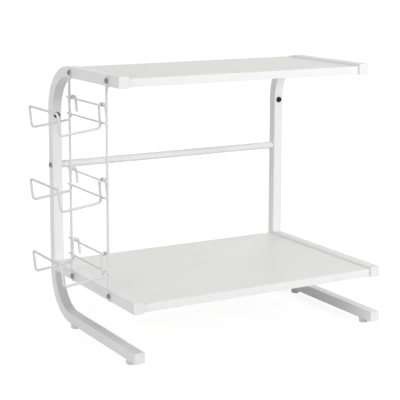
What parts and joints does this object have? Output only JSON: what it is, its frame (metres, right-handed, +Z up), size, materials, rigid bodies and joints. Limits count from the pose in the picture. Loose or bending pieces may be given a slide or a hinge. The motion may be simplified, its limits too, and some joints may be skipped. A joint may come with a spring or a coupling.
{
  "type": "microwave shelf",
  "caption": "Counter-top microwave shelf of bent white square tube with two white boards, a rear crossbar and a side rack carrying lift-off bent-wire holders.",
  "frame": {"origin": "floor level, under the middle of the overall width and depth with the holders hung in place", "axes": "+X to the right along the boards' length, +Y to the back, +Z up; the open front faces -Y and the wire rack is on the -X side"},
  "size_m": [0.6848, 0.402, 0.553],
  "materials": {
    "white_tube": "satin white powder coat on square and round steel tube",
    "white_wire": "glossy white powder coat on steel wire",
    "white_board": "chipboard faced with satin off-white melamine, slightly green",
    "white_edging": "white plastic edge strip",
    "white_cap": "moulded white plastic",
    "grey_foot": "moulded light grey plastic glide",
    "black_bolt": "black finished steel, domed head with a hexagon recess",
    "plated_steel": "bright zinc-plated steel",
    "bare_steel": "zinc-plated steel, hidden inside the posts"
  },
  "bodies": {
    "rack_frame": {"left_lower_frame": "white_tube", "left_upper_frame": "white_tube", "left_lower_rail": "white_tube", "left_post_sleeve": "bare_steel", "left_foot_cap": "white_cap", "left_lower_rail_cap": "white_cap", "left_upper_rail_cap": "white_cap", "left_front_foot": "grey_foot", "left_rear_foot": "grey_foot", "left_crossbar_collar": "white_cap", "left_board_screws": "plated_steel", "right_lower_frame": "white_tube", "right_upper_frame": "white_tube", "right_lower_rail": "white_tube", "right_post_sleeve": "bare_steel", "right_foot_cap": "white_cap", "right_lower_rail_cap": "white_cap", "right_upper_rail_cap": "white_cap", "right_front_foot": "grey_foot", "right_rear_foot": "grey_foot", "right_crossbar_collar": "white_cap", "right_board_screws": "plated_steel", "post_joint_bolts": "black_bolt", "post_joint_nuts": "bare_steel", "crossbar": "white_tube", "crossbar_bolts": "plated_steel", "lower_board": "white_board", "lower_board_front_edging": "white_edging", "lower_board_rear_edging": "white_edging", "upper_board": "white_board", "upper_board_front_edging": "white_edging", "upper_board_rear_edging": "white_edging", "rack_rear_rod": "white_wire", "rack_front_rod": "white_wire", "top_hanging_wire": "white_wire", "top_steadying_wire": "white_wire", "middle_hanging_wire": "white_wire", "middle_steadying_wire": "white_wire", "bottom_hanging_wire": "white_wire", "bottom_steadying_wire": "white_wire"},
    "top_holder_wire": {"top_holder": "white_wire"},
    "middle_holder_wire": {"middle_holder": "white_wire"},
    "bottom_holder_wire": {"bottom_holder": "white_wire"}
  },
  "joints": [
    {"name": "top_holder_lift", "type": "slide", "parent": "rack_frame", "child": "top_holder_wire", "axis": [0, 0, 1], "range_m": [0, 0.0305]},
    {"name": "middle_holder_lift", "type": "slide", "parent": "rack_frame", "child": "middle_holder_wire", "axis": [0, 0, 1], "range_m": [0, 0.04]},
    {"name": "bottom_holder_lift", "type": "slide", "parent": "rack_frame", "child": "bottom_holder_wire", "axis": [0, 0, 1], "range_m": [0, 0.04]}
  ]
}
